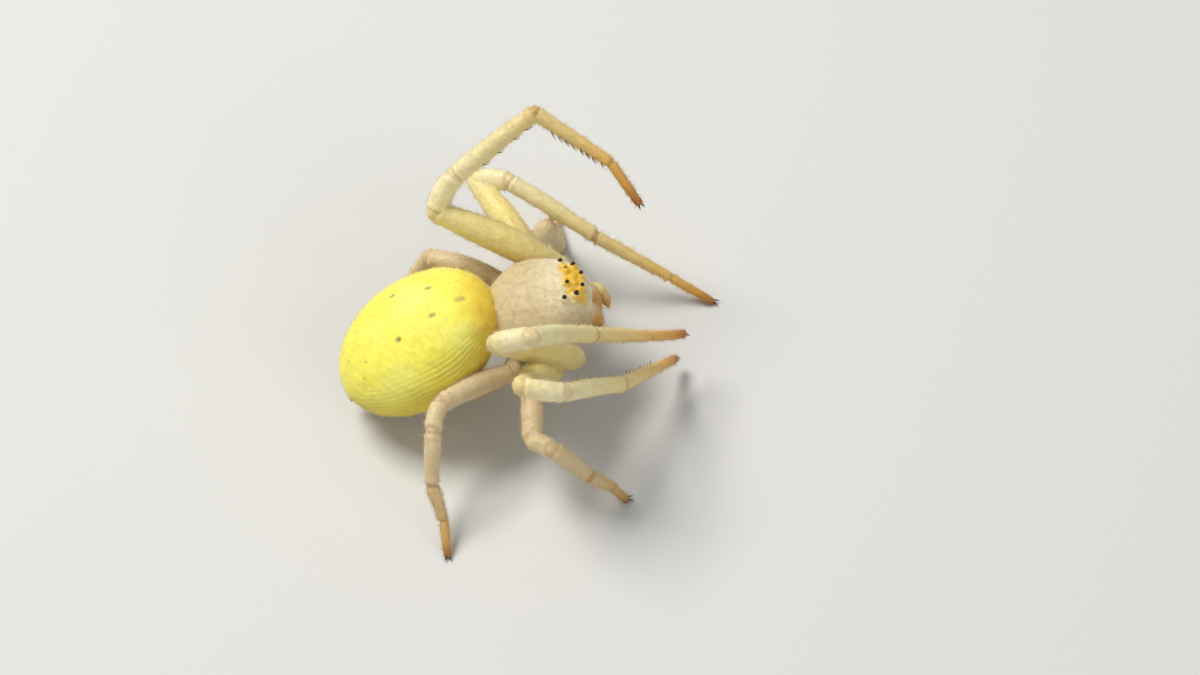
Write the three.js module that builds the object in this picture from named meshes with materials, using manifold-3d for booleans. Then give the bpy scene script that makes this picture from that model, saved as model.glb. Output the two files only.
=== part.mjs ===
// A female goldenrod crab spider as a still model at life size.
// Millimetres. +X points to the head, +Y to the spider's left, +Z up.
import * as THREE from "three";
import { mergeVertices } from "three/addons/utils/BufferGeometryUtils.js";
import Module from "manifold-3d";

const wasm = await Module();
wasm.setup();

// Whole animal
const bodyHeight = 3.3; // from the ground to the plane of the leg bases
const gap = 0.1; // left between two neighbouring pieces
const legSides = 10; // facets round a leg
const footRise = 0.09; // height of the rounded tip's middle over the ground

// Prosoma: the domed front body that carries eyes, mouthparts and legs
const prosomaHalfLength = 1.85;
const prosomaHalfWidth = 1.93;
const prosomaTop = 1.8;
const prosomaBelly = 0.45;
const headTaper = { loss: 0.36, power: 1.5 }; // share of the width lost towards the face
const rearTaper = { loss: 0.12, power: 2 };
const prosomaFullness = { front: 4, rear: 2.2 }; // exponents of the outline seen from above
const crown = { share: 0.6, fall: 0.2 }; // where the dome is highest, and how fast it falls away
const sternum = { centre: [-0.1, 0, -0.32], half: [1.25, 0.95, 0.46] };
const labium = { centre: [1.05, 0, -0.5], half: [0.34, 0.26, 0.26] };

// Abdomen: an egg set nose up behind the prosoma
const abdomenCentre = [-4.07, -0.28, -0.4];
const abdomenHalf = [3.05, 2.48, 1.73];
const abdomenPitch = 30; // degrees the rear end points down
const abdomenYaw = 2.6; // degrees the rear end points to the right
const abdomenFullness = { front: 2.12, rear: 1.95 }; // exponents of the egg's long profile
const abdomenRearGain = 0.045; // share by which the rear is higher than the middle

// Narrow waist, and the spinneret group under the rear end
const pedicel = { from: [-1.3, 0, -0.15], to: [-2.45, -0.1, -0.25], radius: 0.28 };
const spinneretSpot = { along: 0.95, around: -62 };
const spinneretLength = 0.5;
const spinneretRadius = 0.15;
const spinneretTaper = [1.3, 1, 0.6]; // root, middle and tip as shares of the radius
const spinneretAim = [-1, -0.04, -0.75];
const spinneretTubes = [[1, 0.5, 1], [-1, 0.5, 1], [0.9, -0.6, 0.85], [-0.9, -0.6, 0.85]]; // aside, up, size
const spinneretPitch = { root: 0.1, tip: 0.17 }; // distance of the tubes from the group's middle

// Eyes: two rows that bend backwards, given as position ahead, position aside and radius
const eyes = {
  front_median: [1.57, 0.24, 0.075],
  front_lateral: [1.34, 0.6, 0.095],
  rear_median: [1.08, 0.26, 0.07],
  rear_lateral: [0.93, 0.78, 0.08],
};
const eyeMound = 0.085; // how far a mound stands out round its eye
const eyeRise = 0.09; // from the head's surface out to the middle of an eye
const moundDrop = 0.06; // from the head's surface down to the middle of its mound
const eyeClearance = 0.012;
const eyeFacing = [0.25, 0.3, 0.9]; // ahead, outward and up

// Raised bar across the face under the eyes
const faceBar = { from: [1.66, 0.42, 0.9], to: [1.74, 0, 0.95], radii: [0.1, 0.13, 0.14] };

// Chelicerae with short fangs, and the palps beside them
const chelicera = {
  from: [1.42, 0.47, 0.72],
  to: [1.9, 0.4, -0.7],
  radii: [0.36, 0.43, 0.42, 0.34, 0.2],
};
const fang = { length: 0.42, radius: 0.1, offset: [0.02, 0, -0.08], aim: [-0.35, -0.75, -0.6] };
const palp = {
  joints: [[1.38, 0.95, -0.3], [1.95, 1.0, -0.1], [2.25, 0.88, -0.32], [2.36, 0.7, -0.82]],
  radii: [0.18, 0.18, 0.18, 0.12],
};

const palpSides = 8;

// Leg pairs from front to rear. Lengths run femur, patella, tibia, metatarsus, tarsus.
const fore = {
  lengths: [4.8, 1.4, 3.45, 3.0, 1.6],
  coxa: [0.36, 0.36],
  femur: [0.36, 0.5, 0.54, 0.47, 0.34],
  patella: [0.34, 0.38, 0.35],
  tibia: [0.32, 0.34, 0.3, 0.26],
  metatarsus: [0.245, 0.235, 0.205, 0.175],
  tarsus: [0.17, 0.16, 0.145],
  spines: { tibia: 2, metatarsus: 4 },
};
const second = {
  ...fore,
  lengths: [4.6, 1.4, 3.45, 3.0, 1.6],
  femur: [0.35, 0.45, 0.48, 0.42, 0.31],
  patella: [0.31, 0.34, 0.31],
  tibia: [0.29, 0.3, 0.28, 0.24],
  metatarsus: [0.23, 0.215, 0.19, 0.16],
  tarsus: [0.155, 0.15, 0.135],
};
const third = {
  lengths: [2.5, 1.0, 1.55, 1.05, 0.85],
  coxa: [0.3, 0.29],
  femur: [0.27, 0.35, 0.37, 0.36, 0.31],
  patella: [0.3, 0.32, 0.29],
  tibia: [0.28, 0.29, 0.27, 0.23],
  metatarsus: [0.23, 0.22, 0.19, 0.16],
  tarsus: [0.16, 0.15, 0.13],
};
const fourth = {
  ...third,
  lengths: [2.7, 1.05, 1.8, 1.25, 1.1],
  femur: [0.27, 0.37, 0.39, 0.36, 0.3],
  patella: [0.28, 0.3, 0.28],
  tibia: [0.27, 0.28, 0.25, 0.22],
};
const femurBow = 0.12; // upward bend in the middle of a femur
const patellaBow = 0.1; // bend of a patella away from the inside of the leg's curl
const tibiaBow = 0.05;
const pairs = [
  { form: fore, root: [0.6, 0.85, -0.45], base: [1.05, 1.95, -0.2] },
  { form: second, root: [0.2, 0.92, -0.5], base: [0.3, 2.2, -0.4] },
  { form: third, root: [-0.25, 0.92, -0.52], base: [-0.4, 2.15, -0.45] },
  { form: fourth, root: [-0.72, 0.8, -0.5], base: [-1.1, 2.0, -0.45] },
];

// The pose: for each segment the degrees from straight ahead and above the level.
// A standing leg has no tilt for its tarsus, which reaches down to the ground.
const pose = {
  L1: [[163, 29], [38, 45], [17, 28], [-31, -27], [-52, -41]],
  R1: [[141, 49], [22, 27], [-41, -41], [-35, -41], [-31, -35]],
  L2: [[115, 5], [-29, 16], [-33, -23], [-23, -29], [-25]],
  R2: [[108, 44], [5, -17], [-45, -40], [-58, -37], [-60, -38]],
  L3: [[66, -6], [70, -60], [76, -68], [90, -6], [95]],
  R3: [[96, -11], [49, 16], [23, -42], [-6, -47], [1]],
  L4: [[150, 3], [150, -60], [160, -70], [212, -10], [218]],
  R4: [[153, 7], [111, -13], [103, -49], [74, -44], [91]],
};

const spineLength = 0.3;
const spineRadius = 0.035;
const spineSpread = 28; // degrees between a spine and the middle of its row pair
const spineStart = 0.22; // share of the segment before the first spine
const spineSpan = 0.68; // share of the segment that carries spines
const spineSeat = 0.6; // share of the limb's radius at which a spine starts
const spineLean = 0.55; // forward part of a spine's direction
const clawLength = 0.17;
const clawRadius = 0.04;
const clawStem = 0.065;
const clawClearance = 0.02;
const clawLift = 0.05; // upward part of the claw direction on a standing leg
const clawSplay = 0.4; // sideways part of a claw's direction

const colours = {
  abdomen: 0xf0d84e,
  prosoma: 0xb9a180,
  pale: 0xe8dcaa,
  tan: 0xcdb48c,
  amber: 0xd9ab52,
  mouth: 0xc8923f,
  eye: 0x17110d,
  claw: 0x33241b,
};

const vec = (p) => new THREE.Vector3(...p);
const mirrored = (p, side) => vec([p[0], p[1] * side, p[2]]);
const radians = THREE.MathUtils.degToRad;

// Solids

function solidOf(geometry) {
  const plain = geometry.clone();
  plain.deleteAttribute("normal");
  plain.deleteAttribute("uv");
  const merged = mergeVertices(plain, 1e-5);
  const faces = [];
  const index = merged.index.array;
  for (let i = 0; i < index.length; i += 3) {
    const [a, b, c] = [index[i], index[i + 1], index[i + 2]];
    if (a !== b && b !== c && c !== a) faces.push(a, b, c);
  }
  const build = (triangles) => new wasm.Manifold(new wasm.Mesh({
    numProp: 3,
    vertProperties: new Float32Array(merged.attributes.position.array),
    triVerts: new Uint32Array(triangles),
  }));
  const solid = build(faces);
  return solid.volume() > 0 ? solid : build(faces.reverse());
}

const joined = (solids) => solids.reduce((all, next) => all.add(next));
const without = (solid, cutters) => cutters.reduce((left, next) => left.subtract(next), solid);

function largest(solid) {
  return solid.decompose().reduce((a, b) => (a.volume() > b.volume() ? a : b));
}

// A sphere whose poles lie along X, with each point moved by the given form.
function moulded(sides, rings, form) {
  const ball = new THREE.SphereGeometry(1, sides, rings).rotateZ(-Math.PI / 2);
  const position = ball.attributes.position;
  for (let i = 0; i < position.count; i++) {
    const n = new THREE.Vector3().fromBufferAttribute(position, i);
    const round = Math.hypot(n.y, n.z);
    const across = round > 1e-6 ? [n.y / round, n.z / round] : [0, 0];
    position.setXYZ(i, ...form(n.x, across[0], across[1]));
  }
  return solidOf(ball);
}

const ovoid = ({ centre, half }, grow = 0, sides = 18, rings = 9) => moulded(sides, rings, (x, y, z) => {
  const round = Math.sqrt(Math.max(0, 1 - x * x));
  return [
    centre[0] + (half[0] + grow) * x,
    centre[1] + (half[1] + grow) * y * round,
    centre[2] + (half[2] + grow) * z * round,
  ];
});

function ballAt(spot, radius, sides, rings) {
  return ovoid({ centre: spot.toArray(), half: [radius, radius, radius] }, 0, sides, rings);
}

// A round-ended limb between two points: radii are spread evenly along it. It bends up,
// or towards the given direction.
function limb(from, to, radii, grow = 0, bow = 0, sides = legSides, toward = [0, 0, 1]) {
  const length = from.distanceTo(to);
  const profile = [];
  const steps = radii.length - 1;
  for (const turn of [-90, -45]) {
    const r = radii[0] + grow;
    profile.push(new THREE.Vector2(r * Math.cos(radians(turn)), r * Math.sin(radians(turn))));
  }
  radii.forEach((r, i) => profile.push(new THREE.Vector2(r + grow, (length * i) / steps)));
  for (const turn of [45, 90]) {
    const r = radii[steps] + grow;
    profile.push(new THREE.Vector2(r * Math.cos(radians(turn)), length + r * Math.sin(radians(turn))));
  }
  profile[0].x = 0;
  profile[profile.length - 1].x = 0;
  const shape = new THREE.LatheGeometry(profile, sides);
  const along = to.clone().sub(from).normalize();
  const turn = new THREE.Quaternion().setFromUnitVectors(new THREE.Vector3(0, 1, 0), along);
  const rise = vec(toward).addScaledVector(along, -along.dot(vec(toward))).normalize();
  const position = shape.attributes.position;
  for (let i = 0; i < position.count; i++) {
    const point = new THREE.Vector3().fromBufferAttribute(position, i);
    const share = THREE.MathUtils.clamp(point.y / length, 0, 1);
    point.applyQuaternion(turn).add(from).addScaledVector(rise, bow * 4 * share * (1 - share));
    position.setXYZ(i, point.x, point.y, point.z);
  }
  return solidOf(shape);
}

function cone(base, direction, length, radius, sides = 4) {
  const shape = new THREE.ConeGeometry(radius, length, sides, 1).translate(0, length / 2, 0);
  const turn = new THREE.Quaternion().setFromUnitVectors(new THREE.Vector3(0, 1, 0), direction);
  return solidOf(shape.applyQuaternion(turn).translate(base.x, base.y, base.z));
}

// What lies ahead of a plane through a point, less half the gap between pieces
function trimmed(solid, point, normal) {
  const offset = normal.dot(point) + gap / 2;
  return solid.trimByPlane(normal.toArray(), offset);
}

// Prosoma

function prosomaSection(x) {
  const share = THREE.MathUtils.clamp(x / prosomaHalfLength, -1, 1);
  const fullness = share > 0 ? prosomaFullness.front : prosomaFullness.rear;
  const round = (1 - Math.abs(share) ** fullness) ** (1 / fullness);
  const taper = share > 0 ? headTaper : rearTaper;
  const narrow = taper.loss * Math.abs(share) ** taper.power;
  return {
    width: prosomaHalfWidth * (1 - narrow) * round,
    top: (prosomaTop - crown.fall * (crown.share - share) ** 2) * round,
    belly: prosomaBelly * round,
  };
}

function headHeight(x, y) {
  const { width, top } = prosomaSection(x);
  return top * Math.sqrt(1 - (y / width) ** 2);
}

function prosomaShell(grow = 0) {
  return moulded(32, 20, (share, y, z) => {
    const x = prosomaHalfLength * share;
    const { width, top, belly } = prosomaSection(x);
    return [
      x + grow * share,
      (width + grow) * y,
      ((z > 0 ? top : belly) + grow) * z,
    ];
  });
}

// Abdomen, from its own long axis to the body's frame

const abdomenTurn = new THREE.Matrix4()
  .makeTranslation(...abdomenCentre)
  .multiply(new THREE.Matrix4().makeRotationZ(radians(abdomenYaw)))
  .multiply(new THREE.Matrix4().makeRotationY(-radians(abdomenPitch)));

function abdomenPoint(share, y, z, grow = 0) {
  const fullness = share < 0 ? abdomenFullness.front : abdomenFullness.rear;
  const round = (1 - Math.abs(share) ** fullness) ** (1 / fullness);
  return new THREE.Vector3(
    -(abdomenHalf[0] + grow) * share,
    (abdomenHalf[1] + grow) * round * y,
    (abdomenHalf[2] + grow) * (1 + abdomenRearGain * share) * round * z,
  ).applyMatrix4(abdomenTurn);
}

function abdomenShell(grow = 0) {
  return moulded(36, 20, (x, y, z) => abdomenPoint(-x, y, z, grow).toArray());
}

function spinnerets(grow = 0) {
  const turn = radians(spinneretSpot.around);
  const seat = abdomenPoint(spinneretSpot.along, 0, Math.sin(turn), -spinneretRadius);
  const back = vec(spinneretAim).normalize();
  const side = vec([0, 1, 0]);
  const up = vec([0, 0, 0]).crossVectors(back, side).normalize();
  const spread = (spot, across, rise, pitch) => spot.clone()
    .addScaledVector(side, across * pitch)
    .addScaledVector(up, rise * pitch);
  return joined(spinneretTubes.map(([across, rise, size]) => {
    const root = spread(seat, across, rise, spinneretPitch.root);
    const end = seat.clone().addScaledVector(back, spinneretLength * size);
    const tip = spread(end, across, rise, spinneretPitch.tip);
    return limb(root, tip, spinneretTaper.map((taper) => taper * spinneretRadius * size), grow, 0, 6);
  }));
}

// Legs

function heading(azimuth, elevation, side) {
  const [a, e] = [radians(azimuth), radians(elevation)];
  return new THREE.Vector3(Math.cos(e) * Math.cos(a), side * Math.cos(e) * Math.sin(a), Math.sin(e));
}

function legAt(name) {
  const side = name[0] === "L" ? 1 : -1;
  const { form, root, base } = pairs[Number(name[1]) - 1];
  const joints = [mirrored(base, side)];
  const aims = [];
  pose[name].forEach(([azimuth, elevation], i) => {
    const last = joints[i];
    const drop = (-bodyHeight + footRise - last.z) / form.lengths[i];
    const tilt = elevation ?? THREE.MathUtils.radToDeg(Math.asin(drop));
    const aim = heading(azimuth, tilt, side);
    aims.push(aim);
    joints.push(last.clone().addScaledVector(aim, form.lengths[i]));
  });
  return { name, side, form, root: mirrored(root, side), joints, aims };
}

const mitre = (leg, i) => leg.aims[i].clone().add(leg.aims[i + 1]).normalize();
const overGround = (solid) => solid.trimByPlane([0, 0, 1], -bodyHeight);

function femurPiece(leg, grow = 0) {
  const [base, knee] = leg.joints;
  const coxa = limb(leg.root, base, leg.form.coxa, grow);
  const femur = limb(base, knee, leg.form.femur, grow, femurBow);
  return coxa.add(trimmed(femur, knee, mitre(leg, 0).negate()));
}

// Direction from a segment's middle to the inside of the leg's curl, square to the segment
function insideOf(leg, segment) {
  const middle = leg.joints[segment].clone().lerp(leg.joints[segment + 1], 0.5);
  const inside = leg.joints[1].clone().lerp(leg.joints[5], 0.5).sub(middle);
  return inside.addScaledVector(leg.aims[segment], -inside.dot(leg.aims[segment])).normalize();
}

// Small spines in pairs along the side of a segment that faces the inside of the leg's curl
function spineRows(leg, segment, count, radius) {
  const [from, to] = [leg.joints[segment], leg.joints[segment + 1]];
  const along = leg.aims[segment];
  const under = insideOf(leg, segment);
  const rows = [];
  for (let i = 0; i < count; i++) {
    const share = spineStart + (spineSpan * (i + 0.5)) / count;
    for (const lean of [-spineSpread, spineSpread]) {
      const out = under.clone().applyAxisAngle(along, radians(lean));
      const root = from.clone().lerp(to, share).addScaledVector(out, radius * spineSeat);
      const point = out.clone().addScaledVector(along, spineLean).normalize();
      rows.push(cone(root, point, spineLength, spineRadius));
    }
  }
  return rows;
}

function patellaPiece(leg) {
  const [, knee, bend] = leg.joints;
  const away = insideOf(leg, 1).negate().toArray();
  const kneecap = limb(knee, bend, leg.form.patella, 0, patellaBow, legSides, away);
  return trimmed(trimmed(kneecap, knee, mitre(leg, 0)), bend, mitre(leg, 1).negate());
}

function tibiaPiece(leg) {
  const [, , bend, ankle] = leg.joints;
  const shin = limb(bend, ankle, leg.form.tibia, 0, tibiaBow);
  const tibia = trimmed(trimmed(shin, bend, mitre(leg, 1)), ankle, mitre(leg, 2).negate());
  const spines = leg.form.spines ? spineRows(leg, 2, leg.form.spines.tibia, leg.form.tibia[3]) : [];
  return joined([tibia, ...spines]);
}

function tarsusPiece(leg) {
  const [, , , ankle, wrist, tip] = leg.joints;
  const metatarsus = trimmed(limb(ankle, wrist, leg.form.metatarsus), ankle, mitre(leg, 2));
  const tarsus = limb(wrist, tip, leg.form.tarsus);
  const spines = leg.form.spines ? spineRows(leg, 3, leg.form.spines.metatarsus, leg.form.metatarsus[3]) : [];
  return joined([metatarsus, tarsus, ...spines]);
}

// Two hooked claws on a short stem, just ahead of the tarsus tip and over the ground
function clawPiece(leg) {
  const tip = leg.joints[5];
  const ahead = leg.aims[4].clone();
  if (pose[leg.name][4].length === 1) ahead.setZ(clawLift).normalize();
  const side = new THREE.Vector3(0, 0, 1).cross(ahead).normalize();
  const reach = leg.form.tarsus.at(-1) + clawStem + clawClearance;
  const seat = tip.clone().addScaledVector(ahead, reach);
  const hooks = [-1, 1].map((way) => {
    const point = ahead.clone().addScaledVector(side, way * clawSplay).normalize();
    return cone(seat.clone().addScaledVector(side, way * clawRadius / 2), point, clawLength, clawRadius, 4);
  });
  return joined([ballAt(seat, clawStem, 6, 4), ...hooks]);
}

// Mouthparts

function cheliceraPiece(side, grow = 0) {
  const [from, to] = [mirrored(chelicera.from, side), mirrored(chelicera.to, side)];
  const root = to.clone().add(vec(fang.offset));
  const hook = cone(root, mirrored(fang.aim, side).normalize(), fang.length, fang.radius + grow, 8);
  return limb(from, to, chelicera.radii, grow, 0, 12).add(hook);
}

function palpPiece(side, grow = 0) {
  const joints = palp.joints.map((p) => mirrored(p, side));
  return joined(joints.slice(1).map((joint, i) => (
    limb(joints[i], joint, [palp.radii[i], palp.radii[i + 1]], grow, 0, palpSides)
  )));
}

// Assembly

const pieces = {};
const legs = Object.keys(pose).map(legAt);
const abdomenNear = abdomenShell(gap);

for (const side of ["L", "R"]) {
  let before = [];
  for (const leg of legs.filter((l) => l.name[0] === side)) {
    pieces["femur_" + leg.name] = largest(without(femurPiece(leg), before));
    before = [...before, femurPiece(leg, gap)].slice(-1);
  }
}
const femora = legs.map((leg) => femurPiece(leg, gap));

for (const leg of legs) {
  pieces["patella_" + leg.name] = patellaPiece(leg);
  pieces["tibia_" + leg.name] = tibiaPiece(leg);
  pieces["tarsus_" + leg.name] = overGround(tarsusPiece(leg));
  pieces["claws_" + leg.name] = overGround(clawPiece(leg));
}

const mouthCuts = [];
for (const [name, side] of [["L", 1], ["R", -1]]) {
  pieces["chelicera_" + name] = cheliceraPiece(side);
  pieces["palp_" + name] = largest(without(palpPiece(side), [cheliceraPiece(side, gap), ...femora]));
  mouthCuts.push(cheliceraPiece(side, gap), palpPiece(side, gap));
}

const mounds = [];
const sockets = [];
for (const [name, [x, y, radius]] of Object.entries(eyes)) {
  for (const [letter, side] of [["L", 1], ["R", -1]]) {
    const surface = vec([x, y * side, headHeight(x, y)]);
    const middle = surface.clone().addScaledVector(mirrored(eyeFacing, side).normalize(), eyeRise);
    mounds.push(ballAt(surface.clone().setZ(surface.z - moundDrop), radius + eyeMound, 8, 5));
    sockets.push(ballAt(middle, radius + eyeClearance, 8, 5));
    pieces["eye_" + name + "_" + letter] = ballAt(middle, radius, 8, 5);
  }
}

const waist = limb(vec(pedicel.from), vec(pedicel.to), [pedicel.radius, pedicel.radius]);
const waistNear = limb(vec(pedicel.from), vec(pedicel.to), [pedicel.radius, pedicel.radius], gap);
const bars = [1, -1].map((side) => (
  limb(mirrored(faceBar.from, side), vec(faceBar.to), faceBar.radii, 0, 0, 8)
));
const shell = joined([prosomaShell(), ovoid(sternum), ovoid(labium, 0, 12, 6), ...bars, ...mounds]);
const shellNear = joined([prosomaShell(gap), ovoid(sternum, gap)]);

pieces.prosoma = largest(without(shell, [waistNear, ...femora, ...mouthCuts, ...sockets]));
pieces.abdomen = largest(without(abdomenShell(), [shellNear, waistNear, spinnerets(gap), ...femora]));
pieces.pedicel = waist;
pieces.spinnerets = spinnerets();

function colourOf(name) {
  const [kind, where] = name.split("_");
  if (kind === "eye") return colours.eye;
  if (kind === "claws") return colours.claw;
  if (kind === "chelicera") return colours.mouth;
  if (kind === "abdomen" || kind === "spinnerets") return colours.abdomen;
  if (kind === "tarsus") return colours.amber;
  if (["femur", "patella", "tibia"].includes(kind)) return Number(where[1]) < 3 ? colours.pale : colours.tan;
  return colours.prosoma;
}

const group = new THREE.Group();
for (const [name, solid] of Object.entries(pieces)) {
  const { vertProperties, triVerts } = solid.getMesh();
  const geometry = new THREE.BufferGeometry();
  geometry.setAttribute("position", new THREE.BufferAttribute(vertProperties, 3));
  geometry.setIndex(new THREE.BufferAttribute(triVerts, 1));
  const flat = geometry.toNonIndexed();
  flat.computeVertexNormals();
  const shine = name.startsWith("eye") ? 0.15 : 0.5;
  const material = new THREE.MeshStandardMaterial({ color: colourOf(name), roughness: shine, metalness: 0 });
  const mesh = new THREE.Mesh(flat, material);
  mesh.name = name;
  group.add(mesh);
}

// The origin is the middle of the footprint, on the ground.
const box = new THREE.Box3().setFromObject(group);
const middle = box.getCenter(new THREE.Vector3());
group.children.forEach((mesh) => mesh.geometry.translate(-middle.x, -middle.y, -box.min.z));

export default group;
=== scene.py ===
import bpy
import math
import numpy as np
from mathutils import Matrix, Vector


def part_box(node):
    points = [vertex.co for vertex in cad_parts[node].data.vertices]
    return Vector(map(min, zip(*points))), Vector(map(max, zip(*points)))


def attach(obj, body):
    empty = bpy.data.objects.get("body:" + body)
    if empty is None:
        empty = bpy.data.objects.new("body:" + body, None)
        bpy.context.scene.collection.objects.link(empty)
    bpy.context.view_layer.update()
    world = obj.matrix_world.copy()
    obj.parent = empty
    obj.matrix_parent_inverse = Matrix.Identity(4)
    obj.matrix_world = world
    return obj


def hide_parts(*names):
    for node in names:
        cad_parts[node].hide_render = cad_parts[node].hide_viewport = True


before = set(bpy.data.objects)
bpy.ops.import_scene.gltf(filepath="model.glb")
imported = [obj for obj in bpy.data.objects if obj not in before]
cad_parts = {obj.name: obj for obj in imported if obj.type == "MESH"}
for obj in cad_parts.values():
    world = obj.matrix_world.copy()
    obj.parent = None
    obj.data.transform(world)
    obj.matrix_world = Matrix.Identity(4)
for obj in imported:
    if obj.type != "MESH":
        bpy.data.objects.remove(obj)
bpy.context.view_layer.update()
print("frame loaded")

# Shapes are in millimetres in the spider's own frame: +X head, +Y its left, z 0 at the leg bases.
mm = 0.001
rng = np.random.default_rng(41)

body = {
    "height": 3.3,  # of the leg bases over the floor
    "prosomaHalf": (1.85, 1.93),
    "prosomaTop": 1.8,
    "topPeak": 0.6,  # share of the way to the front where the back is highest
    "topFall": 0.2,
    "prosomaBelly": 0.45,
    "bellyMargin": 0.3,  # how much lower the flesh still counts as prosoma
    "prosomaFullness": (2.2, 4.0),  # rear and front exponents of the outline
    "rearTaper": (0.12, 2.0),  # share of the width lost at the end, and its exponent
    "headTaper": (0.36, 1.5),
    "headHairWay": (0.9, 0, 0.3),
    "sternum": ((-0.1, 0, -0.32), (1.25, 0.95, 0.46)),  # centre and half sizes
    "labium": ((1.05, 0, -0.5), (0.34, 0.26, 0.26)),
    "abdomenCentre": (-4.07, -0.28, -0.4),
    "abdomenHalf": (3.05, 2.48, 1.73),
    "abdomenPitch": 30,
    "abdomenYaw": 2.6,
    "abdomenFullness": (2.12, 1.95),  # front and rear exponents
    "abdomenRearGain": 0.045,
}

fore = {
    "lengths": (4.8, 1.4, 3.45, 3.0, 1.6),
    "coxa": (0.36, 0.36),
    "femur": (0.36, 0.5, 0.54, 0.47, 0.34),
    "patella": (0.34, 0.38, 0.35),
    "tibia": (0.32, 0.34, 0.3, 0.26),
    "metatarsus": (0.245, 0.235, 0.205, 0.175),
    "tarsus": (0.17, 0.16, 0.145),
}
second = dict(
    fore,
    lengths=(4.6, 1.4, 3.45, 3.0, 1.6),
    femur=(0.35, 0.45, 0.48, 0.42, 0.31),
    patella=(0.31, 0.34, 0.31),
    tibia=(0.29, 0.3, 0.28, 0.24),
    metatarsus=(0.23, 0.215, 0.19, 0.16),
    tarsus=(0.155, 0.15, 0.135),
)
third = {
    "lengths": (2.5, 1.0, 1.55, 1.05, 0.85),
    "coxa": (0.3, 0.29),
    "femur": (0.27, 0.35, 0.37, 0.36, 0.31),
    "patella": (0.3, 0.32, 0.29),
    "tibia": (0.28, 0.29, 0.27, 0.23),
    "metatarsus": (0.23, 0.22, 0.19, 0.16),
    "tarsus": (0.16, 0.15, 0.13),
}
fourth = dict(
    third,
    lengths=(2.7, 1.05, 1.8, 1.25, 1.1),
    femur=(0.27, 0.37, 0.39, 0.36, 0.3),
    patella=(0.28, 0.3, 0.28),
    tibia=(0.27, 0.28, 0.25, 0.22),
)
pairs = [  # form, root inside the body and first joint of the left leg
    (fore, (0.6, 0.85, -0.45), (1.05, 1.95, -0.2)),
    (second, (0.2, 0.92, -0.5), (0.3, 2.2, -0.4)),
    (third, (-0.25, 0.92, -0.52), (-0.4, 2.15, -0.45)),
    (fourth, (-0.72, 0.8, -0.5), (-1.1, 2.0, -0.45)),
]
pose = {  # azimuth and tilt of each segment in degrees, with None where the tip stands on the floor
    "L1": ((163, 29), (38, 45), (17, 28), (-31, -27), (-52, -41)),
    "R1": ((141, 49), (22, 27), (-41, -41), (-35, -41), (-31, -35)),
    "L2": ((115, 5), (-29, 16), (-33, -23), (-23, -29), (-25, None)),
    "R2": ((108, 44), (5, -17), (-45, -40), (-58, -37), (-60, -38)),
    "L3": ((66, -6), (70, -60), (76, -68), (90, -6), (95, None)),
    "R3": ((96, -11), (49, 16), (23, -42), (-6, -47), (1, None)),
    "L4": ((150, 3), (150, -60), (160, -70), (212, -10), (218, None)),
    "R4": ((153, 7), (111, -13), (103, -49), (74, -44), (91, None)),
}
segments = ("femur", "patella", "tibia", "metatarsus", "tarsus")
bows = {"femur": 0.12, "patella": 0.1, "tibia": 0.05}
footRise = 0.09


def unit(v):
    v = np.asarray(v, float)
    return v / np.maximum(np.linalg.norm(v, axis=-1, keepdims=True), 1e-12)


def legAt(name):
    side = 1 if name[0] == "L" else -1
    form, root, base = pairs[int(name[1]) - 1]
    flip = np.array((1, side, 1))
    joints, aims = [np.array(base) * flip], []
    for (azimuth, tilt), length in zip(pose[name], form["lengths"]):
        last = joints[-1]
        if tilt is None:
            tilt = math.degrees(math.asin((-body["height"] + footRise - last[2]) / length))
        a, e = math.radians(azimuth), math.radians(tilt)
        aim = np.array((math.cos(e) * math.cos(a), side * math.cos(e) * math.sin(a), math.sin(e)))
        aims.append(aim)
        joints.append(last + aim * length)
    root = np.array(root) * flip
    return {"name": name, "form": form, "root": root, "joints": joints, "aims": aims}


def insideOf(leg, segment):  # towards the inside of the leg's curl
    middle = (leg["joints"][segment] + leg["joints"][segment + 1]) / 2
    inside = (leg["joints"][1] + leg["joints"][-1]) / 2 - middle
    aim = leg["aims"][segment]
    return unit(inside - aim * (inside @ aim))


legs = [legAt(name) for name in pose]

# Tubes: the round-ended pieces that make legs, palps, chelicerae, waist and spinnerets

tubeLook = {
    "sides": 40, "step": 0.06, "fewestRings": 8,
    "capRings": 8, "capEdge": 0.12,  # angle that is left open round the pole of a cap
    "smoothing": (-0.12, -0.04, 0.04, 0.12),
}
upward = (0.0, 0.0, 1.0)


def tube(kind, start, end, radii, bow=0.0, toward=upward, leg=None, place=0.0):
    start, end = np.asarray(start, float), np.asarray(end, float)
    length = float(np.linalg.norm(end - start))
    aim = (end - start) / length
    rise = unit(np.asarray(toward) - aim * np.dot(aim, toward))
    return {
        "kind": kind, "start": start, "length": length, "aim": aim, "rise": rise,
        "across": np.cross(aim, rise), "radii": radii, "bow": bow, "leg": leg, "place": place,
    }


def radiusAlong(radii, share):
    return np.interp(share, np.linspace(0, 1, len(radii)), radii)


def smoothRadius(radii, share):  # the same radii without corners
    offsets = tubeLook["smoothing"]
    return sum(radiusAlong(radii, np.clip(share + d, 0, 1)) for d in offsets) / len(offsets)


def bowAt(t, share):
    return t["bow"] * 4 * share * (1 - share)


def gridFaces(rings, sides):
    i, j = np.meshgrid(np.arange(rings - 1), np.arange(sides), indexing="ij")
    k = (j + 1) % sides
    here, ahead = i * sides, (i + 1) * sides
    quads = np.stack([here + j, here + k, ahead + k, ahead + j], -1).reshape(-1, 4)
    last = (rings - 1) * sides
    ends = [tuple(reversed(range(sides))), tuple(last + n for n in range(sides))]
    return [tuple(q) for q in quads.tolist()] + ends


def ringTurns(sides):
    return np.linspace(0, 2 * math.pi, sides, endpoint=False)


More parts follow.
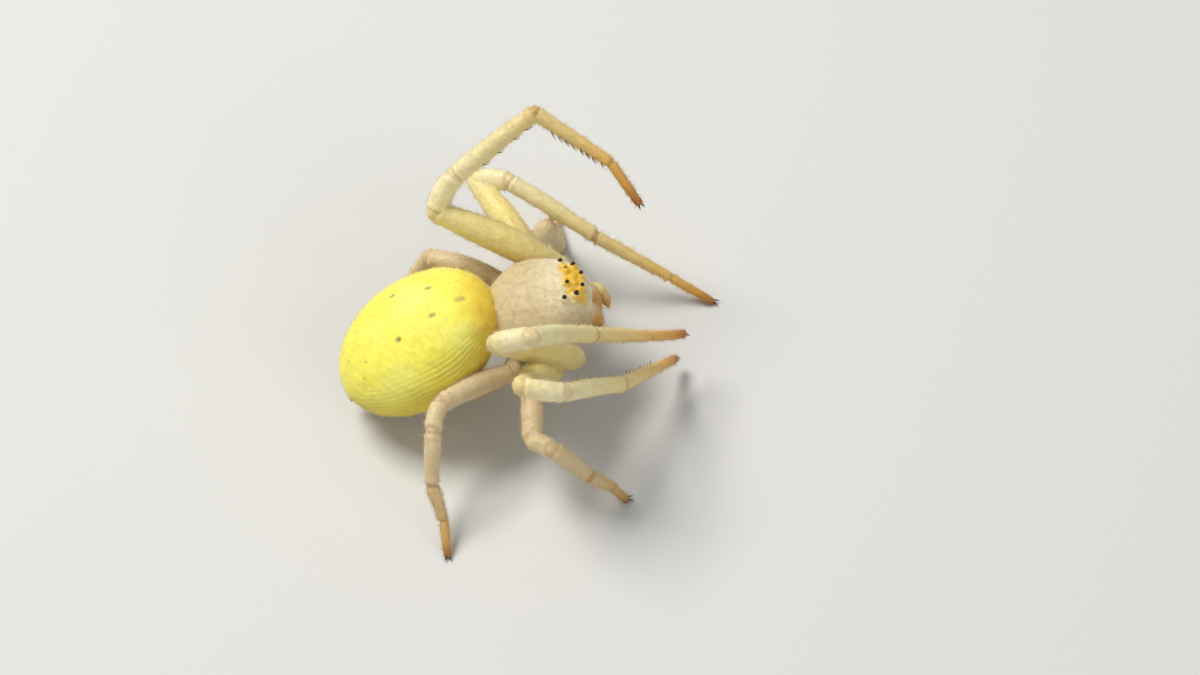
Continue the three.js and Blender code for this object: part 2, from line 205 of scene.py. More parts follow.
def tubeMesh(t):
    length, radii = t["length"], t["radii"]
    count = max(tubeLook["fewestRings"], int(length / tubeLook["step"]))
    first, last = float(smoothRadius(radii, 0.0)), float(smoothRadius(radii, 1.0))
    opening = np.linspace(tubeLook["capEdge"], math.pi / 2, tubeLook["capRings"])[:-1]
    closing = np.linspace(0, math.pi / 2 - tubeLook["capEdge"], tubeLook["capRings"])[1:]
    stations = [(-first * math.cos(a), first * math.sin(a)) for a in opening]
    stations += [(length * s, float(smoothRadius(radii, s))) for s in np.linspace(0, 1, count)]
    stations += [(length + last * math.sin(a), last * math.cos(a)) for a in closing]
    turn = ringTurns(tubeLook["sides"])
    ring = np.cos(turn)[:, None] * t["rise"] + np.sin(turn)[:, None] * t["across"]
    points = []
    for run, radius in stations:
        share = min(max(run / length, 0), 1)
        middle = t["start"] + t["aim"] * run + t["rise"] * bowAt(t, share)
        points.append(middle + ring * radius)
    return np.concatenate(points), gridFaces(len(stations), tubeLook["sides"])


def tubeField(t, points):  # depth, share along and angle round
    run = np.clip((points - t["start"]) @ t["aim"], 0, t["length"])
    share = run / t["length"]
    lift = bowAt(t, share)
    away = points - t["start"] - run[:, None] * t["aim"] - lift[:, None] * t["rise"]
    depth = np.linalg.norm(away, axis=1) - smoothRadius(t["radii"], share)
    return depth, share, np.arctan2(away @ t["across"], away @ t["rise"])


# The two body halves

poleGap = 0.02
fieldLook = {"prosomaReach": 1.2, "abdomenReach": 1.3, "lowestLevel": 0.3}


def moulded(sides, rings, form):
    lat = np.linspace(-math.pi / 2 + poleGap, math.pi / 2 - poleGap, rings)
    turn = ringTurns(sides)
    x = np.repeat(np.sin(lat), sides)
    y, z = np.tile(np.cos(turn), rings), np.tile(np.sin(turn), rings)
    return form(x, y, z), gridFaces(rings, sides)


def ovoid(centre, half, sides=40, rings=24):
    def form(x, y, z):
        r = np.sqrt(1 - x * x)
        local = (half[0] * x, half[1] * y * r, half[2] * z * r)
        return np.stack([middle + offset for middle, offset in zip(centre, local)], 1)
    return moulded(sides, rings, form)


def prosomaFrame(share):  # full width, full height and exponent, before the ends round off
    ahead = share > 0
    size = np.abs(share)
    rearLoss, rearPower = body["rearTaper"]
    headLoss, headPower = body["headTaper"]
    narrow = np.where(ahead, headLoss * size ** headPower, rearLoss * size ** rearPower)
    top = body["prosomaTop"] - body["topFall"] * (body["topPeak"] - share) ** 2
    rear, front = body["prosomaFullness"]
    return body["prosomaHalf"][1] * (1 - narrow), top, np.where(ahead, front, rear)


def prosomaSection(share):
    share = np.clip(share, -1, 1)
    width, top, full = prosomaFrame(share)
    rounded = np.maximum(1 - np.abs(share) ** full, 0) ** (1 / full)
    return width * rounded, top * rounded, body["prosomaBelly"] * rounded


def prosomaForm(x, y, z):
    width, top, belly = prosomaSection(x)
    return np.stack([body["prosomaHalf"][0] * x, width * y, np.where(z > 0, top, belly) * z], 1)


def levelField(points, centre, share, y, z, full):
    level = (np.abs(share) ** full + np.hypot(y, z) ** full) ** (1 / full)
    reach = np.linalg.norm(points - centre, axis=1)
    depth = (level - 1) * reach / np.maximum(level, fieldLook["lowestLevel"])
    return depth, np.clip(share, -1, 1), np.arctan2(z, y)


def prosomaField(points):
    share = points[:, 0] / body["prosomaHalf"][0]
    reach = fieldLook["prosomaReach"]
    width, top, full = prosomaFrame(np.clip(share, -reach, reach))
    belly = body["prosomaBelly"] + body["bellyMargin"]
    z = points[:, 2] / np.where(points[:, 2] > 0, top, belly)
    return levelField(points, np.zeros(3), share, points[:, 1] / width, z, full)


pitch, yaw = math.radians(body["abdomenPitch"]), math.radians(body["abdomenYaw"])
abdomenTurn = np.array(Matrix.Rotation(yaw, 3, "Z") @ Matrix.Rotation(-pitch, 3, "Y"))
abdomenCentre = np.array(body["abdomenCentre"])
abdomenHalf = np.array(body["abdomenHalf"])


def abdomenForm(share, y, z, grow=0.0):
    full = np.where(share < 0, *body["abdomenFullness"])
    rounded = np.maximum(1 - np.abs(share) ** full, 0) ** (1 / full)
    half, gain = abdomenHalf + grow, 1 + body["abdomenRearGain"] * share
    local = np.stack([-half[0] * share, half[1] * rounded * y, half[2] * gain * rounded * z], -1)
    return local @ abdomenTurn.T + abdomenCentre


def abdomenField(points):
    local = (points - abdomenCentre) @ abdomenTurn
    reach = fieldLook["abdomenReach"]
    share = np.clip(-local[:, 0] / abdomenHalf[0], -reach, reach)
    y = local[:, 1] / abdomenHalf[1]
    z = local[:, 2] / (abdomenHalf[2] * (1 + body["abdomenRearGain"] * share))
    full = np.where(share < 0, *body["abdomenFullness"])
    return levelField(points, abdomenCentre, share, y, z, full)


def headHeight(x, y):
    width, top, _ = prosomaSection(np.array(x / body["prosomaHalf"][0]))
    return float(top * math.sqrt(1 - (y / float(width)) ** 2))


eyeSpots = {  # x, y and radius
    "front_median": (1.57, 0.24, 0.075),
    "front_lateral": (1.34, 0.6, 0.095),
    "rear_median": (1.08, 0.26, 0.07),
    "rear_lateral": (0.93, 0.78, 0.08),
}
eyeLook = {
    "rise": 0.09, "mound": 0.085, "drop": 0.06, "facing": (0.25, 0.3, 0.9), "grid": (28, 18),
}


def eyeSeats():  # centre, radius and the place on the head below it
    found = {}
    for kind, (x, y, radius) in eyeSpots.items():
        for letter, side in (("L", 1), ("R", -1)):
            surface = np.array((x, y * side, headHeight(x, y)))
            outward = unit(np.array(eyeLook["facing"]) * (1, side, 1))
            found[f"eye_{kind}_{letter}"] = (surface + outward * eyeLook["rise"], radius, surface)
    return found


seats = eyeSeats()
leftBox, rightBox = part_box("eye_front_median_L"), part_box("eye_front_median_R")
cadEyes = np.array(leftBox[0] + leftBox[1] + rightBox[0] + rightBox[1]) / 4 / mm
ownEyes = (seats["eye_front_median_L"][0] + seats["eye_front_median_R"][0]) / 2
shift = cadEyes - ownEyes
shift[2] = body["height"]
print("frame shift", np.round(shift, 3).tolist())

waist = {"start": (-1.3, 0, -0.15), "end": (-2.45, -0.1, -0.25), "radii": (0.28, 0.28)}
mouth = {
    "jaw": ((1.42, 0.47, 0.72), (1.9, 0.4, -0.7)),
    "jawRadii": (0.36, 0.43, 0.42, 0.34, 0.2),
    "palp": ((1.38, 0.95, -0.3), (1.95, 1.0, -0.1), (2.25, 0.88, -0.32), (2.36, 0.7, -0.82)),
    "palpRadii": (0.18, 0.18, 0.18, 0.12),
    "bar": ((1.66, 0.42, 0.9), (1.74, 0, 0.95)),
    "barRadii": (0.1, 0.13, 0.14),
}
spinnerets = {  # the places are across, up and size
    "share": 0.95, "degrees": -62, "sink": 0.15, "aim": (-1, -0.04, -0.75),
    "places": ((1, 0.5, 1), (-1, 0.5, 1), (0.9, -0.6, 0.85), (-0.9, -0.6, 0.85)),
    "length": 0.5, "rootSpread": 0.1, "tipSpread": 0.17, "radii": (0.195, 0.15, 0.09),
}


def legTubes(leg):
    form, joints = leg["form"], leg["joints"]
    found = [tube("leg", leg["root"], joints[0], form["coxa"], leg=leg, place=-1)]
    for i, part in enumerate(segments):
        toward = -insideOf(leg, 1) if part == "patella" else upward
        bow = bows.get(part, 0.0)
        found.append(tube("leg", joints[i], joints[i + 1], form[part], bow, toward, leg, i))
    return found


def mouthTubes(side):
    flip = np.array((1, side, 1))
    jaw, palp, bar = ([np.array(p) * flip for p in mouth[key]] for key in ("jaw", "palp", "bar"))
    found = [tube("jaw", *jaw, mouth["jawRadii"])]
    for i in range(len(palp) - 1):
        radii = mouth["palpRadii"][i:i + 2]
        found.append(tube("palp", palp[i], palp[i + 1], radii, place=i))
    return found + [tube("bar", *bar, mouth["barRadii"])]


def spinneretTubes():
    height = math.sin(math.radians(spinnerets["degrees"]))
    seat = abdomenForm(np.array(spinnerets["share"]), 0.0, height, -spinnerets["sink"])
    back = unit(spinnerets["aim"])
    up = unit(np.cross(back, (0, 1, 0)))
    found = []
    for across, rise, size in spinnerets["places"]:
        offset = np.array((0, across, 0)) + up * rise
        root = seat + offset * spinnerets["rootSpread"]
        tip = seat + back * spinnerets["length"] * size + offset * spinnerets["tipSpread"]
        found.append(tube("spinneret", root, tip, tuple(r * size for r in spinnerets["radii"])))
    return found


tubes = [tube("waist", waist["start"], waist["end"], waist["radii"])]
for leg in legs:
    tubes += legTubes(leg)
tubes += mouthTubes(1) + mouthTubes(-1) + spinneretTubes()

# One entry for each form: abdomen, prosoma, then the tubes
readers = [abdomenField, prosomaField] + [lambda p, t=t: tubeField(t, p) for t in tubes]
kinds = np.array(["abdomen", "prosoma"] + [t["kind"] for t in tubes])
places = np.array([0.0, 0.0] + [float(t["place"]) for t in tubes])
hinds = np.array([False, False] + [bool(t["leg"]) and t["leg"]["name"][1] in "34" for t in tubes])
halves = [2 * body["abdomenHalf"][0], 2 * body["prosomaHalf"][0]]
lengths = np.array(halves + [t["length"] for t in tubes])
aims = np.array([-abdomenTurn[:, 0], body["headHairWay"]] + [t["aim"] for t in tubes])


def fieldsOf(points):  # which form a surface point belongs to, how far along it and where round it
    best = np.full(len(points), 1e9)
    owner = np.zeros(len(points), int)
    share, around = np.zeros(len(points)), np.zeros(len(points))
    for i, reader in enumerate(readers):
        depth, s, a = reader(points)
        near = depth < best
        best[near], owner[near], share[near], around[near] = depth[near], i, s[near], a[near]
    return owner, share, around


def ramp(x, low, high):  # smooth step from 0 at low to 1 at high, also where high is the lesser
    t = np.clip((x - low) / (high - low), 0, 1)
    return t * t * (3 - 2 * t)


def bump(x, middle, width):
    return np.exp(-((x - middle) / width) ** 2)


waveSpread = (0.7, 1.4)  # shortest and longest wave count for one pitch


def waves(points, pitchMm, seed, count=9):  # smooth noise about -1 to 1 from crossed sine waves
    own = np.random.default_rng(seed)
    way = unit(own.normal(size=(count, 3)))
    way = way * own.uniform(*waveSpread, (count, 1)) * 2 * math.pi / pitchMm
    phase = own.uniform(0, 2 * math.pi, count)
    return np.sin(points @ way.T + phase).sum(1) / math.sqrt(count)


def swells(points, table):  # rows of height, pitch in mm and seed
    return sum(height * waves(points, pitchMm, seed) for height, pitchMm, seed in table)


# Masks that both the relief and the colours use

faceRim = {  # pale rim across the face, under the eyes
    "level": 0.93, "droop": 0.12, "width": 0.1, "front": (1.4, 1.62), "sides": (1.0, 0.7),
}
eyePatch = {  # lumpy ground between the eyes
    "ragged": ((0.07, 0.5, 31),),
    "sides": (0.9, 0.6), "rear": (0.82, 1.08), "level": (0.7, 1.0), "front": (1.74, 1.6),
}
muscleSpots = [  # share along, degrees round (90 is the top), half length, half width, darkness
    (-0.8, 97, 0.17, 0.12, 0.55), (-0.5, 106, 0.12, 0.09, 0.85), (-0.5, 74, 0.12, 0.09, 0.85),
    (-0.06, 113, 0.12, 0.1, 1.0), (-0.06, 67, 0.12, 0.1, 1.0), (0.42, 116, 0.06, 0.05, 0.7),
    (0.42, 64, 0.06, 0.05, 0.7), (0.52, 130, 0.05, 0.04, 0.8), (0.52, 50, 0.05, 0.04, 0.8),
    (0.66, 104, 0.05, 0.04, 0.6), (0.66, 76, 0.05, 0.04, 0.6),
]
spotEdge = (1.25, 0.55)
folds = {  # fine long folds down the flanks, carved into the skin and darkened in colour as painted shade
    "count": 62, "slant": 0.12, "sharpness": 2.2, "drift": ((0.035, 2.6, 5), (0.012, 0.9, 6)),
    "flank": (0.78, 0.2), "front": (0.55, 0.9), "frontFade": 0.75,
    "patchWaves": (1.3, 7), "patch": (-0.8, 0.6),
}


def faceRidge(points):
    x, y, z = points.T
    aside = np.abs(y)
    line = bump(z, faceRim["level"] - faceRim["droop"] * aside, faceRim["width"])
    return line * ramp(x, *faceRim["front"]) * ramp(aside, *faceRim["sides"])


def patchMask(points):
    x, y, z = points.T
    ragged = swells(points, eyePatch["ragged"])
    wide = ramp(np.abs(y) + ragged, *eyePatch["sides"])
    long = ramp(x + ragged, *eyePatch["rear"]) * ramp(x, *eyePatch["front"])
    return wide * long * ramp(z, *eyePatch["level"])


def spotMask(share, around):
    total = np.zeros(len(share))
    for s, degrees, long, wide, dark in muscleSpots:
        radius = abdomenHalf[1] * math.sqrt(1 - s * s)
        swing = np.angle(np.exp(1j * (around - math.radians(degrees))))
        distance = np.hypot((share - s) * abdomenHalf[0] / long, swing * radius / wide)
        total = np.maximum(total, dark * ramp(distance, *spotEdge))
    return total


def foldMask(points, share, around):
    drift = swells(points, folds["drift"])
    line = np.cos((around + drift + folds["slant"] * share) * folds["count"]) * 0.5 + 0.5
    flank = ramp(np.sin(around), *folds["flank"])
    calm = 1 - folds["frontFade"] * ramp(-share, *folds["front"])
    patch = ramp(waves(points, *folds["patchWaves"]), *folds["patch"])
    return line ** folds["sharpness"] * flank * calm * (0.5 + 0.5 * patch)


# Skin relief, with every height in mm

abdomenRelief = {
    "fold": 0.028, "pit": 0.05, "crease": 0.012,
    "creaseCount": 60, "creaseWave": ((2, 1.2, 8),), "creaseRim": (0.62, 0.95),
    "swells": ((0.012, 0.8, 9), (0.006, 0.3, 10)),
}
prosomaRelief = {
    "lump": 0.03, "lumpWaves": (0.26, 11), "lumpFloor": -0.4, "ridge": 0.06,
    "furrow": 0.03, "furrowWidth": 0.07, "furrowCentre": -0.35, "furrowWays": (0.62, 1.3, 1.95, 2.6),
    "furrowInner": (0.25, 0.5), "furrowOuter": (1.7, 1.2), "furrowLevel": (0.3, 0.7),
    "pit": 0.06, "pitCentre": -0.45, "pitHalf": (0.28, 0.07), "swells": ((0.008, 0.35, 12),),
}
jawRelief = {"bulge": 0.07, "base": (0.12, 0.4), "tip": (1.0, 0.8), "swells": ((0.006, 0.3, 15),)}
limbRelief = {
    "groove": 0.04, "grooveWidth": 0.06, "lip": 0.02, "lipPlace": 0.16, "lipWidth": 0.08,
    "lastLip": 0.5, "swells": ((0.008, 0.55, 13), (0.004, 0.2, 14)),
}


def abdomenHeight(points, share, around):
    look = abdomenRelief
    wave = np.cos(share * look["creaseCount"] + swells(points, look["creaseWave"]))
    crease = (0.5 + 0.5 * wave) ** 3 * ramp(-share, *look["creaseRim"])
    return (
        swells(points, look["swells"]) - look["fold"] * foldMask(points, share, around)
        - look["pit"] * spotMask(share, around) - look["crease"] * crease
    )


def prosomaHeight(points):
    look = prosomaRelief
    x, y, z = points.T
    ahead = x - look["furrowCentre"]
    turn, reach = np.arctan2(np.abs(y), ahead), np.hypot(ahead, y)
    spokes = sum(bump(turn, way, look["furrowWidth"]) for way in look["furrowWays"])
    ring = ramp(reach, *look["furrowInner"]) * ramp(reach, *look["furrowOuter"])
    groove = spokes * ring * ramp(z, *look["furrowLevel"])
    pit = bump(x, look["pitCentre"], look["pitHalf"][0]) * bump(y, 0, look["pitHalf"][1])
    lumps = np.maximum(waves(points, *look["lumpWaves"]), look["lumpFloor"]) * patchMask(points)
    return (
        swells(points, look["swells"]) + look["lump"] * lumps - look["furrow"] * groove
        - look["pit"] * pit + look["ridge"] * faceRidge(points)
    )


def jawHeight(points, share):
    bulge = ramp(share, *jawRelief["base"]) * ramp(share, *jawRelief["tip"])
    return jawRelief["bulge"] * bulge + swells(points, jawRelief["swells"])


def limbHeight(points, owner, share):  # a groove with a lip beside it at each joint
    look = limbRelief
    place, length = places[owner], lengths[owner]
    toEnd = np.where(place < 4, (1 - share) * length, np.inf)
    toStart = np.where(place > -1, share * length, np.inf)
    edge = np.minimum(toEnd, toStart)
    lip = bump(edge, look["lipPlace"], look["lipWidth"]) * np.where(place < 3, 1, look["lastLip"])
    groove = bump(edge, 0, look["grooveWidth"])
    return swells(points, look["swells"]) + look["lip"] * lip - look["groove"] * groove


def raised(points, normals, owner, share, around):
    kind = kinds[owner]
    height = np.zeros(len(points))
    on = kind == "abdomen"
    height[on] = abdomenHeight(points[on], share[on], around[on])
    on = kind == "prosoma"
    height[on] = prosomaHeight(points[on])
    on = kind == "jaw"
    height[on] = jawHeight(points[on], share[on])
    on = np.isin(kind, ("leg", "palp"))
    height[on] = limbHeight(points[on], owner[on], share[on])
    return points + normals * height[:, None]


# Colours


def srgb(r, g, b):
    c = np.array((r, g, b)) / 255
    return np.where(c <= 0.04045, c / 12.92, ((c + 0.055) / 1.055) ** 2.4)


palette = {
    "lemon": srgb(255, 243, 96), "lemonPale": srgb(255, 248, 138), "gold": srgb(240, 204, 66),
    # the fold colour below is painted shade in the abdomen's folds
    "ochre": srgb(206, 166, 66), "fold": srgb(176, 144, 46), "belly": srgb(208, 190, 132),
    "spot": srgb(120, 126, 104), "fawn": srgb(212, 192, 150), "fawnPale": srgb(232, 218, 178),
    # the umber colour below is painted shade for the prosoma's lower flanks
    "paintedShadeUmber": srgb(160, 134, 98), "patch": srgb(238, 190, 34), "cream": srgb(240, 230, 188),
    "amber": srgb(214, 156, 62), "rust": srgb(176, 112, 46), "palp": srgb(228, 208, 150),
    "spinneret": srgb(206, 176, 100),
}
foreTints = [  # leg place from the hip (-1) to the tip (5)
    (-1, (212, 192, 150)), (0, (226, 206, 146)), (0.5, (234, 216, 138)), (0.9, (236, 220, 154)),
    (1.5, (242, 230, 186)), (2.05, (238, 226, 180)), (2.5, (230, 216, 160)), (3, (230, 208, 142)),
    (3.5, (234, 206, 134)), (4, (226, 184, 98)), (4.6, (214, 158, 62)), (5, (170, 108, 42)),
]
hindTints = [
    (-1, (206, 184, 144)), (0.5, (208, 186, 146)), (1, (216, 196, 156)), (2, (222, 202, 160)),
    (3, (216, 192, 146)), (4, (210, 176, 116)), (4.7, (202, 156, 82)), (5, (160, 112, 60)),
]
abdomenTint = {  # strength, then where the colour starts and where it is full
    "paleTop": (0.6, 0.0, 0.6), "paleClouds": (0.1, 1.4), "cloudWaves": (2.4, 21),
    "goldFlank": (0.75, 0.4, -0.45), "goldFront": (0.8, 0.72, 0.97),
    "ochreRear": (0.7, 0.55, 1.0), "ochreBelow": (0.8, -0.3), "belly": (0.9, -0.6, -0.95),
    # the fold strength sets how dark the painted shade in the folds is
    "fold": 0.5, "spot": 0.85, "grain": 0.25, "shine": 0.35,
}
prosomaTint = {
    # the umber wash towards the lower flanks is painted shade
    "paleTop": (0.8, 0.6, 1.6), "paleFront": (-0.4, 0.9), "paintedFlankShade": (0.35, 0.8, -0.1),
    "rim": 0.8, "webFront": (-0.2, 0.9), "webTop": (0.3, 1.1), "webInPatch": 0.6,
    "grain": 0.9, "grainFade": (0.6, 0.2, 1.2), "shine": 0.3,
}
legTint = {
    "ring": 0.22, "ringWidth": 0.07, "ringed": (0.3, 4.6),
    "darkRing": 0.5, "darkPlace": 3, "darkSpan": 0.4, "grain": 0.35, "shine": 0.5,
}
mouthTint = {
    "jawAmber": (1.0, 0.1, 0.42), "jawRust": (1.0, 0.55, 1.0), "jawShine": 0.8,
    "palpAmber": (1.0, 1.6, 2.9), "palpShine": 0.5,
}


def tintAlong(table, place):
    keys, tints = [row[0] for row in table], np.array([srgb(*row[1]) for row in table])
    return np.stack([np.interp(place, keys, tints[:, k]) for k in range(3)], 1)


def blend(base, other, mask):
    return base + (other - base) * mask[:, None]


def plain(colour, count):
    return np.tile(palette[colour], (count, 1))


def washed(tint, colour, look, level, mask=1.0):
    strength, start, full = look
    return blend(tint, palette[colour], strength * ramp(level, start, full) * mask)


def abdomenTints(points, share, around):
    look, up = abdomenTint, np.sin(around)
    clouds = ramp(waves(points, *look["cloudWaves"]), *look["paleClouds"])
    tint = washed(plain("lemon", len(points)), "lemonPale", look["paleTop"], up, clouds)
    tint = washed(tint, "gold", look["goldFlank"], up)
    tint = washed(tint, "gold", look["goldFront"], -share)
    tint = washed(tint, "ochre", look["ochreRear"], share, ramp(up, *look["ochreBelow"]))
    tint = washed(tint, "belly", look["belly"], up)
    # painted shade: the folds are darkened in colour as well as carved
    tint = blend(tint, palette["fold"], look["fold"] * foldMask(points, share, around))
    return blend(tint, palette["spot"], look["spot"] * spotMask(share, around))


def prosomaTints(points):
    look, patch = prosomaTint, patchMask(points)
    x, _, z = points.T
    tint = plain("fawn", len(points))
    tint = washed(tint, "fawnPale", look["paleTop"], z, ramp(x, *look["paleFront"]))
    # painted shade: the lower flanks darken towards umber
    tint = washed(tint, "paintedShadeUmber", look["paintedFlankShade"], z)
    tint = blend(tint, palette["patch"], patch)
    tint = blend(tint, palette["cream"], look["rim"] * faceRidge(points))
    web = ramp(x, *look["webFront"]) * ramp(z, *look["webTop"]) * (1 - look["webInPatch"] * patch)
    loss, start, full = look["grainFade"]
    grain = look["grain"] * (1 - loss * ramp(x, start, full))
    return tint, np.stack([web, grain, np.full(len(points), look["shine"])], 1)


def legTints(owner, share):
    look, place = legTint, places[owner] + share
    tint = np.where(hinds[owner][:, None], tintAlong(hindTints, place), tintAlong(foreTints, place))
    edge = np.minimum(share, 1 - share) * lengths[owner]
    ringed = (place > look["ringed"][0]) * (place < look["ringed"][1])
    dark = np.abs(place - look["darkPlace"]) < look["darkSpan"]
    strength = ringed * np.where(dark, look["darkRing"], look["ring"])
    return blend(tint, palette["rust"], bump(edge, 0, look["ringWidth"]) * strength)


def painted(points, owner, share, around):
    kind = kinds[owner]
    tint = plain("fawn", len(points))
    marks = np.zeros((len(points), 3))  # web of pale lines, dark grain, shine
    on = kind == "abdomen"
    tint[on] = abdomenTints(points[on], share[on], around[on])
    marks[on, 1:] = abdomenTint["grain"], abdomenTint["shine"]
    on = kind == "prosoma"
    tint[on], marks[on] = prosomaTints(points[on])
    on = kind == "leg"
    tint[on] = legTints(owner[on], share[on])
    marks[on, 1:] = legTint["grain"], legTint["shine"]
    on = kind == "jaw"
    jaw = washed(plain("fawnPale", on.sum()), "amber", mouthTint["jawAmber"], share[on])
    tint[on] = washed(jaw, "rust", mouthTint["jawRust"], share[on])
    marks[on, 2] = mouthTint["jawShine"]
    on = kind == "palp"
    tipward = places[owner[on]] + share[on]
    tint[on] = washed(plain("palp", on.sum()), "amber", mouthTint["palpAmber"], tipward)
    marks[on, 2] = mouthTint["palpShine"]
    tint[kind == "bar"] = palette["cream"]
    tint[kind == "spinneret"] = palette["spinneret"]
    return tint, marks


# Meshes


def meshFrom(name, points, faces, scaled=True):
    made = bpy.data.meshes.new(name)
    where = (points + shift) * mm if scaled else points
    made.from_pydata(where.tolist(), [], faces)
    made.update()
    return made


def newObject(name, mesh):
    made = bpy.data.objects.new(name, mesh)
    bpy.context.collection.objects.link(made)
    return made


def together(made):
    points, faces, first = [], [], 0
    for p, f in made:
        points.append(p)
        faces += [tuple(i + first for i in face) for face in f]
        first += len(p)
    return np.concatenate(points), faces


def addLooks(mesh, tint, marks):
    opaque = np.concatenate([tint, np.ones((len(tint), 1))], 1)
    rows = (("tint", "FLOAT_COLOR", "color", opaque), ("marks", "FLOAT_VECTOR", "vector", marks))
    for name, kind, key, values in rows:
        layer = mesh.attributes.new(name, kind, "POINT")
        layer.data.foreach_set(key, values.astype(np.float32).ravel())


def smoothShade(mesh):
    mesh.polygons.foreach_set("use_smooth", np.ones(len(mesh.polygons), bool))


def gathered(items, key, width, kind=float):  # one row of values for each item
    found = np.zeros(len(items) * width, kind)
    items.foreach_get(key, found)
    return found.reshape(-1, width)


def averaged(values, edge):  # mean of each point's neighbours
    a, b = edge.T
    count = np.bincount(edge.ravel(), minlength=len(values))
    total = [np.bincount(a, v[b], len(v)) + np.bincount(b, v[a], len(v)) for v in values.T]
    return np.stack(total, 1) / count[:, None]


skinLook = {
    "voxel": 0.036, "rounds": 6, "pulls": (0.5, -0.52), "tintRounds": 3, "floorGap": 0.004,
    "prosomaGrid": (160, 110), "abdomenGrid": (180, 130), "sternumGrid": (60, 40),  # sides, rings
}


def relaxed(co, edge, rounds):
    for _ in range(rounds):
        for pull in skinLook["pulls"]:
            co = co + pull * (averaged(co, edge) - co)
    return co


def overFloor(points):
    points[..., 2] = np.maximum(points[..., 2], -body["height"] + skinLook["floorGap"])


def eyeMound(surface, radius):
    return ovoid(surface - (0, 0, eyeLook["drop"]), (radius + eyeLook["mound"],) * 3)


def plainForms():
    halves = [
        moulded(*skinLook["prosomaGrid"], prosomaForm),
        moulded(*skinLook["abdomenGrid"], abdomenForm),
        ovoid(*body["sternum"], *skinLook["sternumGrid"]),
        ovoid(*body["labium"]),
    ]
    mounds = [eyeMound(surface, radius) for _, radius, surface in seats.values()]
    return halves + [tubeMesh(t) for t in tubes] + mounds


def buildSkin():
    points, faces = together(plainForms())
    rough = newObject("rough", meshFrom("rough", points, faces, scaled=False))
    fuse = rough.modifiers.new("fuse", "REMESH")
    fuse.mode = "VOXEL"
    fuse.voxel_size = skinLook["voxel"]
    fused = rough.evaluated_get(bpy.context.evaluated_depsgraph_get())
    mesh = bpy.data.meshes.new_from_object(fused)
    bpy.data.objects.remove(rough)
    edge = gathered(mesh.edges, "vertices", 2, np.int64)
    co = relaxed(gathered(mesh.vertices, "co", 3), edge, skinLook["rounds"])
    mesh.vertices.foreach_set("co", co.ravel())
    mesh.update()
    owner, share, around = fieldsOf(co)
    tint, marks = painted(co, owner, share, around)
    normals = gathered(mesh.vertex_normals, "vector", 3)
    co = relaxed(raised(co, normals, owner, share, around), edge, 1)
    overFloor(co)
    for _ in range(skinLook["tintRounds"]):
        tint, marks = (tint + averaged(tint, edge)) / 2, (marks + averaged(marks, edge)) / 2
    mesh.vertices.foreach_set("co", ((co + shift) * mm).ravel())
    mesh.update()
    mesh.name = "skin"
    addLooks(mesh, tint, marks)
    smoothShade(mesh)
    return mesh, co, owner, share, around, tint


skinMesh, skinPoints, skinOwner, skinShare, skinAround, skinTint = buildSkin()
print("skin", len(skinPoints), "points")
skin = newObject("skin", skinMesh)
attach(skin, "root")
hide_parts(*[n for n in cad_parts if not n.startswith(("eye_", "claws_"))])

# Short hairs that lie along the surface, and the atlas that gives them UV places

atlas = {"cells": 8, "margin": 0.06, "run": 0.86, "hair": 0.003}
hairLooks = {
    "bodyHair": {
        "count": 9000, "kinds": ("abdomen", "prosoma", "waist", "spinneret", "bar"),
        "length": (0.07, 0.15), "radius": 0.006, "lift": (0.25, 0.6), "pale": 0.35,
    },
    "legHair": {
        "count": 17000, "kinds": ("leg", "palp", "jaw"),
        "length": (0.08, 0.19), "radius": 0.0065, "lift": (0.3, 0.75), "pale": 0.3,
    },
}
hairShape = {
    "sway": 0.25, "rootLean": 0.35, "sink": 0.02, "middle": 0.7, "turns": (0, 2.094, 4.189),
    "prosomaLength": 0.75, "endFrom": 2.9, "endGain": 2.2, "patchLoss": 0.97, "floorClear": 0.12,
    "paleTint": (0.9, 0.86, 0.7),
}
hairPoints = 7  # two rings of three and a tip


def atlasPlace(owner, share, around):  # one cell of a square sheet for each form
    cells, margin = atlas["cells"], atlas["margin"]
    run = np.where(owner < 2, (share + 1) / 2, share)
    turn = around / (2 * math.pi) + 0.5
    u = (owner % cells + margin + atlas["run"] * run) / cells
    return u, (owner // cells + margin + atlas["run"] * turn) / cells


def skinTriangles():
    skinMesh.calc_loop_triangles()
    found = gathered(skinMesh.loop_triangles, "vertices", 3, np.int64)
    a, b, c = (skinPoints[found[:, k]] for k in range(3))
    return found, np.linalg.norm(np.cross(b - a, c - a), axis=1) / 2


corner, area = skinTriangles()
skinNormals = gathered(skinMesh.vertex_normals, "vector", 3)
skinKind, skinPlace = kinds[skinOwner], places[skinOwner] + skinShare


def hairWeight(look):  # denser towards the leg tips, sparse on the eye patch, none at the floor
    first = corner[:, 0]
    ends = (skinKind[first] == "leg") & (skinPlace[first] > hairShape["endFrom"])
    clear = skinPoints[first, 2] > -body["height"] + hairShape["floorClear"]
    gain = np.where(ends, hairShape["endGain"], 1.0)
    sparse = 1 - hairShape["patchLoss"] * patchMask(skinPoints[first])
    return area * np.isin(skinKind[first], look["kinds"]) * gain * sparse * clear


def hairFaces(count):
    first = np.arange(count)[:, None] * hairPoints
    rounds = [(j, (j + 1) % 3, 3 + (j + 1) % 3, 3 + j) for j in range(3)]
    points = [(3 + j, 3 + (j + 1) % 3, hairPoints - 1) for j in range(3)]
    faces = []
    for group in (rounds, points):
        rows = np.concatenate([first + np.array(face) for face in group], 0)
        faces += [tuple(f) for f in rows.tolist()]
    return faces


